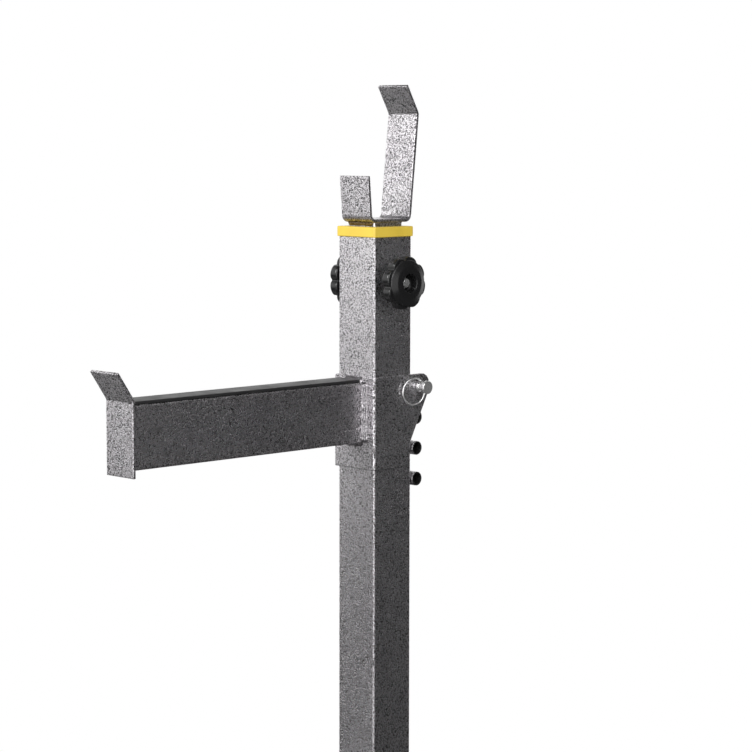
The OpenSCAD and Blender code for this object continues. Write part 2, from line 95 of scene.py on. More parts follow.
def background_seen(tree):
    """1 where a ray from the camera, a reflection or a transmission looks at the background, and 0 elsewhere:
    the largest of the three Light Path outputs."""
    path = linked(tree, "ShaderNodeLightPath").outputs
    seen = reckon(tree, "MAXIMUM", path["Is Camera Ray"], path["Is Glossy Ray"])
    return reckon(tree, "MAXIMUM", seen, path["Is Transmission Ray"])


white, dim = (1.0, 1.0, 1.0, 1.0), 0.45
room = bpy.data.worlds.new("white_room")
room.use_nodes = True
room.node_tree.nodes.clear()
room_seen = linked(room.node_tree, "ShaderNodeBackground", Color=white, Strength=1.0)
room_light = linked(room.node_tree, "ShaderNodeBackground", Color=white, Strength=dim)
room_mix = linked(room.node_tree, "ShaderNodeMixShader", Fac=background_seen(room.node_tree),
                  i1=room_light.outputs[0], i2=room_seen.outputs[0])
linked(room.node_tree, "ShaderNodeOutputWorld", Surface=room_mix.outputs[0])
bpy.context.scene.world = room


def soft_box(name, place, target, side, power):
    """A square lamp of the given side at a place, turned to face the target."""
    lamp = bpy.data.lights.new(name, "AREA")
    lamp.shape = "SQUARE"
    lamp.size = side
    lamp.energy = power
    holder = bpy.data.objects.new(name, lamp)
    bpy.context.scene.collection.objects.link(holder)
    away = np.array(place, float) - np.array(target, float)
    away /= np.linalg.norm(away)
    across = np.cross((0.0, 0.0, 1.0), away)
    across /= np.linalg.norm(across)
    over = np.cross(away, across)
    holder.matrix_world = Matrix([(across[k], over[k], away[k], place[k]) for k in range(3)]
                                 + [(0.0, 0.0, 0.0, 1.0)])
    holder.visible_camera = False


stand_middle, arm_middle = (0.0, 0.1, 0.8), (0.0, 0.1, 0.95)
soft_box("key_box", (-0.9, -2.6, 2.6), stand_middle, side=1.6, power=60.0)
soft_box("fill_box", (2.7, -0.9, 2.5), stand_middle, side=1.6, power=34.0)
soft_box("front_box", (1.27, -2.76, 0.95), arm_middle, side=1.15, power=15.0)


# The floor is a pale sheet that takes the stand's shadow. Seen by the camera and by shiny surfaces, it is
# mostly white near the stand, and as white as the room further off.
def bare_material(name):
    """A material whose node tree is empty, and the tree."""
    material = bpy.data.materials.new(name)
    material.use_nodes = True
    material.node_tree.nodes.clear()
    return material, material.node_tree


def studio_sheet(name, corners, material):
    """One flat face through four corners, which is part of the studio and not of the stand."""
    mesh = bpy.data.meshes.new(name)
    mesh.from_pydata([tuple(corner) for corner in corners], [], [(0, 1, 2, 3)])
    mesh.materials.append(material)
    sheet = bpy.data.objects.new(name, mesh)
    bpy.context.scene.collection.objects.link(sheet)
    return sheet


floor_grey, floor_half, shadow_to, white_from, near_share = 0.86, 20.0, 0.7, 1.9, 0.7
pale, pale_tree = bare_material("pale_floor")
pale_matt = linked(pale_tree, "ShaderNodeBsdfDiffuse", Color=(floor_grey, floor_grey, floor_grey, 1.0))
pale_white = linked(pale_tree, "ShaderNodeEmission", Color=white)
floor_place = linked(pale_tree, "ShaderNodeTexCoord").outputs["Object"]
floor_reach = linked(pale_tree, "ShaderNodeVectorMath", {"operation": "LENGTH"}, i0=floor_place)
floor_far = ramp(pale_tree, floor_reach.outputs["Value"], shadow_to, white_from, near_share, 1.0,
                 kind="SMOOTHSTEP")
pale_share = reckon(pale_tree, "MULTIPLY", background_seen(pale_tree), floor_far)
pale_mix = linked(pale_tree, "ShaderNodeMixShader", Fac=pale_share,
                  i1=pale_matt.outputs[0], i2=pale_white.outputs[0])
linked(pale_tree, "ShaderNodeOutputMaterial", Surface=pale_mix.outputs[0])
floor_corners = [(x * floor_half, y * floor_half, 0) for x, y in ((-1, -1), (1, -1), (1, 1), (-1, 1))]
studio_sheet("floor", floor_corners, pale)


# Dark cards that only reflections see: a tall one beside the stand, which keeps the faces on the ring's side
# dark, a low one on the other side, which grows paler upwards, two on the floor, which darken all that looks
# down, and one overhead.
def dark_card(name, middle, along, across, tone, pale_from=None, pale_to=None):
    """A flat card: a rectangle round its middle, with its two half sides given as directions with lengths.
    Where two heights are given, its brightness climbs from the tone at the first to white at the second."""
    middle, along, across = (np.array(v, float) for v in (middle, along, across))
    cloth, tree = bare_material(name)
    shine = linked(tree, "ShaderNodeEmission", Color=(tone, tone, tone, 1.0))
    if pale_from is not None:
        place = linked(tree, "ShaderNodeTexCoord").outputs["Object"]
        height = linked(tree, "ShaderNodeSeparateXYZ", i0=place).outputs["Z"]
        tree.links.new(ramp(tree, height, pale_from, pale_to, tone, 1.0), shine.inputs["Color"])
    linked(tree, "ShaderNodeOutputMaterial", Surface=shine.outputs[0])
    corners = [middle - along - across, middle + along - across,
               middle + along + across, middle - along + across]
    card = studio_sheet(name, corners, cloth)
    card.visible_camera = card.visible_diffuse = card.visible_shadow = card.visible_transmission = False


dark_card("side_card", (1.75, 1.85, 1.3), (-1.27, 1.27, 0.0), (0.0, 0.0, 1.3), tone=0.03)
dark_card("low_card", (-1.43, -1.30, 0.55), (-1.2, 1.2, 0.0), (0.0, 0.0, 0.55), tone=0.0,
          pale_from=0.38, pale_to=0.96)
dark_card("floor_card", (0.6, 0.7, 0.004), (2.4, 0.0, 0.0), (0.0, 2.1, 0.0), tone=0.05)
dark_card("left_floor_card", (-0.9, -0.45, 0.006), (0.3, 0.0, 0.0), (0.0, 0.5, 0.0), tone=0.32)
dark_card("top_card", (0.0, 0.0, 2.9), (2.2, 0.0, 0.0), (0.0, 2.2, 0.0), tone=0.05)


# The upright: a square steel tube, welded to its foot plate and painted a silver hammer-finish grey.
# A hole for the lock bolt goes through both sides below the top bushing.
UP = ((1, 0, 0), (0, 1, 0), (0, 0, 1))
ALONG_X = ((0, 1, 0), (0, 0, 1), (1, 0, 0))
ALONG_Y = ((1, 0, 0), (0, 0, 1), (0, 1, 0))
axis_y = 0.1


def rounded_path(corners, radii, closed=False, steps=5, ease=0.0003):
    """A line through the given (a, b) corners with each corner swapped for an arc of its own radius. The arc
    starts the radius times the tangent of half the turn before the corner. A point just before and just after
    each arc keeps the flats beside it flat in the shading."""
    corners = np.asarray(corners, float)
    count = len(corners)
    radii = np.broadcast_to(np.asarray(radii, float), count)
    before = corners - np.roll(corners, 1, 0)
    before /= np.linalg.norm(before, axis=1)[:, None]
    after = np.roll(before, -1, 0)
    turn = np.arctan2(before[:, 0] * after[:, 1] - before[:, 1] * after[:, 0], (before * after).sum(1))
    pieces = []
    for k in range(count):
        if radii[k] == 0 or not closed and k in (0, count - 1):
            pieces.append(corners[k][None])
            continue
        cut = radii[k] * math.tan(abs(turn[k]) / 2)
        inward = np.array([-before[k][1], before[k][0]]) * np.sign(turn[k])
        swing = np.linspace(0.0, abs(turn[k]), steps + 1)[:, None]
        start = corners[k] - before[k] * cut
        arc = start + inward * radii[k] * (1 - np.cos(swing)) + before[k] * radii[k] * np.sin(swing)
        pieces.append(np.vstack([start - before[k] * ease, arc, corners[k] + after[k] * (cut + ease)]))
    return np.vstack(pieces)


def rectangle_rings(half_x, half_y, radius, along, steps=6, ease=0.0003):
    """Rings of a rectangle with round corners, one for each height in along, as a grid of (x, y, height).
    Each corner is a quarter circle about a point that lies the radius inside both edges."""
    half_x, half_y, radius, along = (v[:, None] for v in np.broadcast_arrays(half_x, half_y, radius, along))
    room_left = np.clip(np.minimum(half_x, half_y) - radius, 0.0, 2 * ease) / 2
    turn = np.linspace(0.0, math.pi / 2, steps + 1)
    u = np.concatenate([[1.0], np.cos(turn), [0.0]]) * radius
    v = np.concatenate([[0.0], np.sin(turn), [1.0]]) * radius
    u[:, -1:] -= room_left
    v[:, :1] -= room_left
    mx, my = half_x - radius, half_y - radius
    x = np.hstack([mx + u, -mx - v, -mx - u, mx + v])
    y = np.hstack([my + v, my + u, -my - v, -my - u])
    return np.stack([x, y, np.broadcast_to(along, x.shape)], 2)


def placed(grid, axes, centre):
    """A grid of (a, b, along) points turned so that its three directions follow the given axes, then moved to
    the centre."""
    return grid @ np.array(axes, float) + np.array(centre, float)


def shade_softly(mesh, sharp_from=math.radians(32)):
    """Smooth shading, except over an edge where two faces meet at more than the given angle."""
    mesh.polygons.foreach_set("use_smooth", np.ones(len(mesh.polygons), bool))
    mesh.set_sharp_from_angle(angle=sharp_from)


def skin(name, *grids):
    """One closed mesh from grids of points. Each grid is (points, rows join up, columns join up), and every
    four neighbouring points make a face. Points that meet are merged and the faces are turned outwards."""
    verts, faces, used = [], [], 0
    for points, rows_close, columns_close in grids:
        rows, columns = points.shape[:2]
        index = np.arange(rows * columns).reshape(rows, columns) + used
        index = np.vstack([index, index[:1]]) if rows_close else index
        index = np.hstack([index, index[:, :1]]) if columns_close else index
        corners = [index[:-1, :-1], index[:-1, 1:], index[1:, 1:], index[1:, :-1]]
        faces.append(np.stack(corners, 2).reshape(-1, 4))
        verts.append(points.reshape(-1, 3))
        used += rows * columns
    verts, faces = np.vstack(verts), np.vstack(faces)
    mesh = bpy.data.meshes.new(name)
    mesh.vertices.add(len(verts))
    mesh.vertices.foreach_set("co", verts.ravel())
    mesh.loops.add(faces.size)
    mesh.loops.foreach_set("vertex_index", faces.ravel())
    mesh.polygons.add(len(faces))
    mesh.polygons.foreach_set("loop_start", np.arange(0, faces.size, 4))
    mesh.update(calc_edges=True)
    shell = bmesh.new()
    shell.from_mesh(mesh)
    bmesh.ops.remove_doubles(shell, verts=shell.verts, dist=1e-6)
    bmesh.ops.recalc_face_normals(shell, faces=shell.faces)
    shell.to_mesh(mesh)
    shell.free()
    shade_softly(mesh)
    piece = bpy.data.objects.new(name, mesh)
    bpy.context.scene.collection.objects.link(piece)
    return piece


def tube_skin(half_x, half_y, radius, wall, low, high, axes, centre, edge=0.0004):
    """A rectangular tube. The wall's own section, a slim rectangle with round ends, is carried round the
    outline: a point that lies some way into the wall is on the outline drawn in by as much, its corner radius
    less by as much."""
    section = rounded_path([(0, low), (0, high), (wall, high), (wall, low)], edge, closed=True, steps=3)
    inset, along = section.T
    rings = rectangle_rings(half_x - inset, half_y - inset, np.maximum(radius - inset, 0.0004), along)
    return placed(rings, axes, centre), True, True


def around(radius, along, turn):
    """Rings about an axis: each point stands at its own radius and turn, and each ring at its own distance
    along."""
    along = np.repeat(along[:, None], len(turn), 1)
    return np.stack([radius * np.cos(turn), radius * np.sin(turn), along], 2)


def turned_skin(profile, axes, centre, steps=48, closed=False):
    """A turned shape: each (along, radius) point of the profile runs round the axis in a circle."""
    along, radius = np.asarray(profile, float).T
    turn = np.arange(steps) * 2 * math.pi / steps
    return placed(around(radius[:, None], along, turn), axes, centre), closed, True


def drill(piece, *holes):
    """Cuts holes. Each hole is a closed grid, taken away from the piece as an exact solid difference."""
    cutter = skin(piece.name + "_holes", *holes)
    cut = piece.modifiers.new("holes", "BOOLEAN")
    cut.operation = "DIFFERENCE"
    cut.solver = "EXACT"
    cut.object = cutter
    bpy.context.view_layer.update()
    mesh = bpy.data.meshes.new_from_object(piece.evaluated_get(bpy.context.evaluated_depsgraph_get()))
    piece.modifiers.clear()
    mesh.name = piece.name
    piece.data = mesh
    bpy.data.objects.remove(cutter)
    shade_softly(mesh)


def hole_profile(radius, low, high, chamfer=0.0003, past=0.002):
    """Half section of a drill that opens out by the chamfer where it leaves each of the two faces, and that
    runs on past both of them."""
    return [(low - past, 0), (low - past, radius + chamfer), (low, radius + chamfer), (low + chamfer, radius),
            (high - chamfer, radius), (high, radius + chamfer), (high + past, radius + chamfer),
            (high + past, 0)]


def fit(piece, finish, slot, body, *nodes):
    """Gives a piece its finish, makes it stand for its CAD nodes and rides it on its body. The slot is not used.
    """
    piece.data.materials.clear()
    piece.data.materials.append(finish)
    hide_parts(*nodes)
    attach(piece, body)


def noise(tree, place, scale, detail, roughness=0.5, distortion=0.0):
    """Soft noise about 0.5 over the piece's own coordinates in metres."""
    return linked(tree, "ShaderNodeTexNoise", Vector=place, Scale=scale, Detail=detail, Roughness=roughness,
                  Distortion=distortion).outputs["Fac"]


def between(tree, share, first, second):
    """A colour that runs from the first to the second with the share. Either may be another node's output."""
    mixed = linked(tree, "ShaderNodeMix", {"data_type": "RGBA"}, Factor=share, A=first, B=second)
    return mixed.outputs["Result"]


def hammer_paint(name, silver, speck, speck_share, depth, rough):
    """Silver hammer-finish enamel. Thin bent lines, where one noise passes through its middle value, are
    broken up by a coarser noise: they are dark and sunk, and the metallic enamel between them is raised and
    pale."""
    paint, tree = bare_material(name)
    place = linked(tree, "ShaderNodeTexCoord").outputs["Object"]
    fine = noise(tree, place, scale=720.0, detail=0.6, distortion=0.3)
    from_middle = reckon(tree, "ABSOLUTE", reckon(tree, "SUBTRACT", fine, 0.5))
    line = ramp(tree, from_middle, 0.025, 0.145, 1.0, 0.0, "SMOOTHSTEP")
    broken = ramp(tree, noise(tree, place, scale=560.0, detail=0.0), 0.34, 0.48, 0.0, 1.0, "SMOOTHSTEP")
    specks = reckon(tree, "MULTIPLY", line, broken)
    clouds = ramp(tree, noise(tree, place, scale=26.0, detail=2.0), 0.3, 0.7, 0.0, 1.0)
    dull = (silver[0] * 0.92, silver[1] * 0.91, silver[2] * 0.92, 1.0)
    ground = between(tree, clouds, dull, (*silver, 1.0))
    colour = between(tree, reckon(tree, "MULTIPLY", specks, speck_share), ground, (*speck, 1.0))
    height = reckon(tree, "SUBTRACT", noise(tree, place, scale=560.0, detail=0.5), specks)
    relief = linked(tree, "ShaderNodeBump", Strength=1.0, Distance=depth, Height=height).outputs["Normal"]
    shader = linked(tree, "ShaderNodeBsdfPrincipled", Base_Color=colour, Metallic=1.0, Roughness=rough,
                    Normal=relief, Coat_Weight=0.3, Coat_Roughness=0.12)
    linked(tree, "ShaderNodeOutputMaterial", Surface=shader.outputs["BSDF"])
    return paint


hammertone = hammer_paint("hammertone", silver=(0.86, 0.835, 0.86), speck=(0.03, 0.028, 0.03),
                          speck_share=1.0, depth=0.00016, rough=0.277)

tube_half, tube_round, tube_wall, tube_foot, tube_top = 0.0255, 0.002, 0.003, 0.074, 1.05
bolt_z, bolt_hole = 1.0055, 0.0055
upright = skin("upright", tube_skin(tube_half, tube_half, tube_round, tube_wall, tube_foot, tube_top,
                                    UP, (0, axis_y, 0)))
drill(upright, turned_skin(hole_profile(bolt_hole, -tube_half, tube_half), ALONG_X, (0, axis_y, bolt_z), 32))
fit(upright, hammertone, "hammertone_paint", "stand", "upright_tube")


# The top bushing: a yellow plastic collar pressed into the upright's top, its square bore guiding the sliding
# post. Its flange covers the tube's end, and its moulded edges are slightly round.
def moulded_plastic(name, colour, rough, grain, sheen):
    """Moulded plastic with a fine grain: one noise shifts the colour and roughness a little, and a finer one
    dimples the surface."""
    plastic, tree = bare_material(name)
    place = linked(tree, "ShaderNodeTexCoord").outputs["Object"]
    cloud = noise(tree, place, scale=60.0, detail=3.0, roughness=0.55)
    dull = (colour[0] * 0.88, colour[1] * 0.87, colour[2] * 0.86, 1.0)
    bright = (*(min(part * 1.1, 1.0) for part in colour), 1.0)
    matt = ramp(tree, cloud, 0.3, 0.7, rough * 0.85, rough * 1.15)
    pores = noise(tree, place, scale=1100.0, detail=1.0)
    relief = linked(tree, "ShaderNodeBump", Strength=1.0, Distance=grain, Height=pores).outputs["Normal"]
    shader = linked(tree, "ShaderNodeBsdfPrincipled", Base_Color=between(tree, cloud, dull, bright),
                    Roughness=matt, Normal=relief, Specular_IOR_Level=sheen)
    linked(tree, "ShaderNodeOutputMaterial", Surface=shader.outputs["BSDF"])
    return plastic


yellow_plastic = moulded_plastic("yellow_plastic", (0.84, 0.60, 0.052), rough=0.42, grain=0.00003, sheen=0.9)
flange, flange_top, flange_round = 0.027, 1.06, 0.002
bore, skirt, skirt_end = 0.0194, 0.0218, 1.024
collar = rounded_path([(flange, tube_top), (flange, flange_top), (bore, flange_top), (bore, skirt_end),
                       (skirt, skirt_end), (skirt, tube_top)],
                      [0.0008, 0.0012, 0.0008, 0.0004, 0.0004, 0.0], closed=True, steps=4)
collar_round = np.clip(collar[:, 0] - flange + flange_round, 0.0004, None)
collar_rings = rectangle_rings(collar[:, 0], collar[:, 0], collar_round, collar[:, 1])
bushing = skin("bushing", (placed(collar_rings, UP, (0, axis_y, 0)), True, True))
fit(bushing, yellow_plastic, "bushing_plastic", "stand", "top_bushing")


# The base: a tube from front to back between two cross feet, all of 50 mm square tube in the upright's paint.
# Black plastic plugs close the feet's ends, and a rubber foot is screwed under each of them.
base_half, base_mid, foot_y, foot_end = 0.025, 0.037, 0.325, 0.225
runner_end = foot_y - base_half
base_tube = (base_half, base_half, tube_round, tube_wall)
runner = skin("runner", tube_skin(*base_tube, -runner_end, runner_end, ALONG_Y, (0, 0, base_mid)))
fit(runner, hammertone, "hammertone_paint", "stand", "base_runner")
for name, side in (("front_foot", -1), ("rear_foot", 1)):
    foot_middle = (0, side * foot_y, base_mid)
    foot = skin(name + "_tube", tube_skin(*base_tube, -foot_end, foot_end, ALONG_X, foot_middle))
    fit(foot, hammertone, "hammertone_paint", "stand", name)


def slab_skin(half_x, half_y, radius, low, high, edge, axes, centre, steps=6):
    """A solid plate with round corners and softly rounded edges. Its rings start at a point in the middle of
    the lower face, grow to the outline, climb the side and shrink to a point again."""
    drawn_in = 0.004
    side = rounded_path([(drawn_in, low), (0, low), (0, high), (drawn_in, high)], [0, edge, edge, 0], steps=4)
    inset, along = side.T
    inset, along = np.concatenate([[1.0], inset, [1.0]]), np.concatenate([[low], along, [high]])
    rings = rectangle_rings(np.maximum(half_x - inset, 0), np.maximum(half_y - inset, 0),
                            np.where(inset < 1, np.maximum(radius - inset, 0.0004), 0), along, steps)
    return placed(rings, axes, centre), False, True


black_plastic = moulded_plastic("black_plastic", (0.016, 0.016, 0.017), rough=0.36, grain=0.00003, sheen=0.5)
cap_end, plug_half, plug_from, plug_to = 0.229, 0.0213, 0.207, 0.2249
cap_plates = [(base_half, base_half, tube_round, foot_end, cap_end, 0.0015),
              (plug_half, plug_half, 0.001, plug_from, plug_to, 0.0005),
              (base_half, base_half, tube_round, -cap_end, -foot_end, 0.0015),
              (plug_half, plug_half, 0.001, -plug_to, -plug_from, 0.0005)]
for name, side in (("front_foot_caps", -1), ("rear_foot_caps", 1)):
    foot_middle = (0, side * foot_y, base_mid)
    caps = skin(name + "_pair", *[slab_skin(*sizes, ALONG_X, foot_middle) for sizes in cap_plates])
    fit(caps, black_plastic, "cap_plastic", "stand", name)

rubber = moulded_plastic("foot_rubber_black", (0.020, 0.020, 0.021), rough=0.72, grain=0.00008, sheen=0.3)
pad = rounded_path([(0.012, 0), (0.012, 0.022), (0.0082, 0.022), (0.0074, 0.0214), (0.0048, 0.0214),
                    (0.004, 0.022), (0.002, 0.022), (0.0, 0.0200), (0.0, 0.008), (0.0055, 0.008),
                    (0.0055, 0)],
                   [0, 0.001, 0.0003, 0.0002, 0.0002, 0.0003, 0.0006, 0.0006, 0.0004, 0.0003, 0], steps=3)
pad_x = 0.19
pad_places = [(x, y, 0.0) for x in (-pad_x, pad_x) for y in (-foot_y, foot_y)]
pads = skin("rubber_pads", *[turned_skin(pad, UP, place) for place in pad_places])
fit(pads, rubber, "foot_rubber", "stand", "rubber_feet")


# The two square plates: one is welded to the base and one to the upright, and four bolts hold them together.
# Four thin gusset plates stand between the upright's faces and the upper plate.
plate_half, plate_round, plate_thick, base_top = 0.07, 0.008, 0.006, 0.062
for name, node, low in (("lower_plate", "base_plate", base_top),
                        ("upper_plate", "foot_plate", base_top + plate_thick)):
    plate = skin(name, slab_skin(plate_half, plate_half, plate_round, low, low + plate_thick, edge=0.0008,
                                 axes=UP, centre=(0, axis_y, 0), steps=10))
    fit(plate, hammertone, "hammertone_paint", "stand", node)


def outline_slab(outline, half, edge, axes, centre):
    """A flat plate of any outline that its middle can see all of. Each ring is the outline moved inwards
    along the bisectors of its corners: by nothing on the sides, by up to the edge radius round the edges, to
    the middle on the faces."""
    outline = np.asarray(outline, float)
    step = np.roll(outline, -1, 0) - outline
    step /= np.linalg.norm(step, axis=1)[:, None]
    left = np.stack([-step[:, 1], step[:, 0]], 1)
    inward = left + np.roll(left, 1, 0)
    inward /= np.maximum(1 + (left * np.roll(left, 1, 0)).sum(1), 0.3)[:, None]
    swing = np.linspace(0, math.pi / 2, 4)
    inset = np.concatenate([[edge + 0.0003], edge * (1 - np.sin(swing)), [0.0]])
    along = np.concatenate([[half], half - edge * (1 - np.cos(swing)), [half - edge - 0.0003]])
    inset, along = np.concatenate([inset, inset[::-1]]), np.concatenate([along, -along[::-1]])
    rings = np.concatenate([outline[None] + inset[:, None, None] * inward[None],
                            np.repeat(along[:, None], len(outline), 1)[:, :, None]], 2)
    middle = np.repeat(outline.mean(0)[None], len(outline), 0)
    poles = [np.column_stack([middle, np.full(len(outline), height)]) for height in (half, -half)]
    return placed(np.concatenate([poles[0][None], rings, poles[1][None]]), axes, centre), False, True


gusset_corners = [(0.006, 0), (0.04, 0), (0.04, 0.008), (0.008, 0.07), (0, 0.07), (0, 0.006)]
gusset_radii = [0.0006, 0.0006, 0.0015, 0.0015, 0.0006, 0.0006]
gusset_outline = rounded_path(gusset_corners, gusset_radii, closed=True, steps=3)
gusset_half, gusset_edge = 0.0025, 0.0005
tube_faces = ((0, 1), (1, 0), (0, -1), (-1, 0))
gusset_plates = []
for out_x, out_y in tube_faces:
    gusset_foot = (out_x * tube_half, axis_y + out_y * tube_half, tube_foot)
    gusset_axes = ((out_x, out_y, 0), (0, 0, 1), (-out_y, out_x, 0))
    gusset_plates.append(outline_slab(gusset_outline, gusset_half, gusset_edge, gusset_axes, gusset_foot))
fit(skin("gusset_plates", *gusset_plates), hammertone, "hammertone_paint", "stand", "gussets")


# The fasteners: zinc-plated M10 bolts with washers and nuts through the plates, and pan-head screws under the
# feet. Heads and nuts are hexagons whose corners are chamfered, and the bolts' ends show their thread.
def zinc_plating(name, tone, rough):
    """Bright zinc over turned steel: a noise drawn out along one way gives faint scratches, and a coarser one
    cloudy plating."""
    metal, tree = bare_material(name)
    place = linked(tree, "ShaderNodeTexCoord").outputs["Object"]
    drawn_out = linked(tree, "ShaderNodeMapping", Vector=place, Scale=(900.0, 220.0, 220.0)).outputs[0]
    scratch = noise(tree, drawn_out, scale=1.0, detail=2.0, roughness=0.6)
    cloud = noise(tree, place, scale=180.0, detail=2.0)
    dull = (tone * 0.86, tone * 0.86, tone * 0.87, 1.0)
    bright = (tone * 1.06, tone * 1.06, tone * 1.05, 1.0)
    gloss = ramp(tree, cloud, 0.3, 0.7, rough * 0.8, rough * 1.3)
    relief = linked(tree, "ShaderNodeBump", Strength=1.0, Distance=0.00002, Height=scratch).outputs["Normal"]
    shader = linked(tree, "ShaderNodeBsdfPrincipled", Base_Color=between(tree, cloud, dull, bright),
                    Metallic=0.82, Roughness=gloss, Normal=relief)
    linked(tree, "ShaderNodeOutputMaterial", Surface=shader.outputs["BSDF"])
    return metal


zinc = zinc_plating("zinc", tone=0.78, rough=0.24)


def hexagon_skin(width_corners, low, high, axes, centre, chamfer_low=True, chamfer_high=True, bore=0.0):
    """A hexagonal head or nut. Each ring's radius is the smaller of the hexagon's at that angle and that of
    the cone that chamfers the corners: the cone starts at 0.96 of the flats' reach, and its side lies 30
    degrees off the end face. A bore is a plain inner wall."""
    steps, slope = 72, math.tan(math.pi / 6)
    turn = np.arange(steps) * 2 * math.pi / steps
    flat = width_corners / 2 * math.cos(math.pi / 6)
    cone_start = flat * 0.96
    hexagon = flat / np.cos((turn + math.pi / 6) % (math.pi / 3) - math.pi / 6)
    drop = (width_corners / 2 - cone_start) * slope
    along = np.concatenate([[low, low], np.linspace(low, low + drop, 4)[1:] if chamfer_low else [low],
                            np.linspace(high - drop, high, 4)[:-1] if chamfer_high else [high], [high, high]])
    cone = np.full(len(along), width_corners)
    if chamfer_low:
        cone = np.minimum(cone, cone_start + (along - low) / slope)
    if chamfer_high:
        cone = np.minimum(cone, cone_start + (high - along) / slope)
    radius = np.minimum(hexagon[None], cone[:, None])
    radius[0] = radius[-1] = bore
    return placed(around(radius, along, turn), axes, centre), bore > 0, True


def thread_skin(radius, low, high, pitch, axes, centre):
    """A threaded rod end. The radius at a point falls by a zigzag 0.55 of the pitch deep, whose phase is the
    distance over the pitch less the turn. The thread fades out over its first pitch, and the rod's end
    narrows over the last 0.9 mm."""
    steps, narrowed = 24, 0.0009
    turn = np.arange(steps) / steps
    along = np.minimum(np.arange(low, high + pitch / 8, pitch / 6), high)
    phase = (along[:, None] / pitch - turn[None]) % 1.0
    depth = 0.55 * pitch * np.abs(2 * phase - 1)
    fade = np.clip((along - low) / pitch, 0, 1)[:, None]
    end_fall = np.clip(along - high + narrowed, 0, None)[:, None]
    ring = np.minimum(radius - depth * fade, radius - 0.0002 - end_fall)
    ring = np.where(along[:, None] <= low + 1e-9, radius, ring)
    poles = [np.broadcast_to([0.0, 0.0, height], (1, steps, 3)) for height in (low, high)]
    grid = np.concatenate([poles[0], around(ring, along, 2 * math.pi * turn), poles[1]])
    return placed(grid, axes, centre), False, True


bolt_apart, bolt_radius, bolt_pitch, nut_bore, hexagon_wide = 0.05, 0.005, 0.0015, 0.00505, 0.0196
bolt_low, nut_low, nut_high, head_low, head_high = 0.0491, 0.0516, 0.06, 0.076, 0.0824
bolt_places = [(x, axis_y + y, 0.0) for x in (-bolt_apart, bolt_apart) for y in (-bolt_apart, bolt_apart)]
DOWN = ((1, 0, 0), (0, -1, 0), (0, 0, -1))
plate_bolts = []
for place in bolt_places:
    plate_bolts.append(hexagon_skin(hexagon_wide, head_low, head_high, UP, place, chamfer_low=False))
    plate_bolts.append(thread_skin(bolt_radius, -head_low - 0.0005, -bolt_low, bolt_pitch, DOWN, place))
fit(skin("plate_bolt_set", *plate_bolts), zinc, "zinc_plate", "stand", "plate_bolts")

washer_in, washer_out, washer_thick = 0.0055, 0.0105, 0.002
washer_section = rounded_path([(0, washer_in), (0, washer_out),
                               (washer_thick, washer_out), (washer_thick, washer_in)],
                              0.0004, closed=True, steps=3)
washers = [turned_skin(washer_section, UP, (x, y, low), closed=True)
           for x, y, _ in bolt_places for low in (head_low - washer_thick, nut_high)]
fit(skin("plate_washer_set", *washers), zinc, "zinc_plate", "stand", "plate_washers")
nuts = [hexagon_skin(hexagon_wide, nut_low, nut_high, UP, place, bore=nut_bore) for place in bolt_places]
fit(skin("plate_nut_set", *nuts), zinc, "zinc_plate", "stand", "plate_nuts")

screw = rounded_path([(0.002, 0), (0.002, 0.0055), (0.0034, 0.007), (0.0055, 0.007), (0.0055, 0.003),
                      (0.0205, 0.003), (0.0205, 0)],
                     [0, 0.001, 0.0006, 0.0003, 0.0003, 0.0006, 0], steps=4)
key_wide, key_low, key_high = 0.0046, 0.0005, 0.0042
screws = skin("foot_screw_set", *[turned_skin(screw, UP, place, 32) for place in pad_places])
drill(screws, *[hexagon_skin(key_wide, key_low, key_high, UP, place, False, False) for place in pad_places])
fit(screws, zinc, "zinc_plate", "stand", "foot_screws")


# The weld beads: steel runs laid by hand in the corners between tubes and plates, then painted with the rest.
# The paint lies smoother and brighter on them, and the ripples of the puddle still show.
def capped(grid):
    """The grid with a ring added at each end, whose points all meet in the middle of the ring beside it."""
    ends = [np.repeat(ring.mean(0)[None, None], grid.shape[1], 1) for ring in (grid[0], grid[-1])]
    return np.concatenate([ends[0], grid, ends[1]])


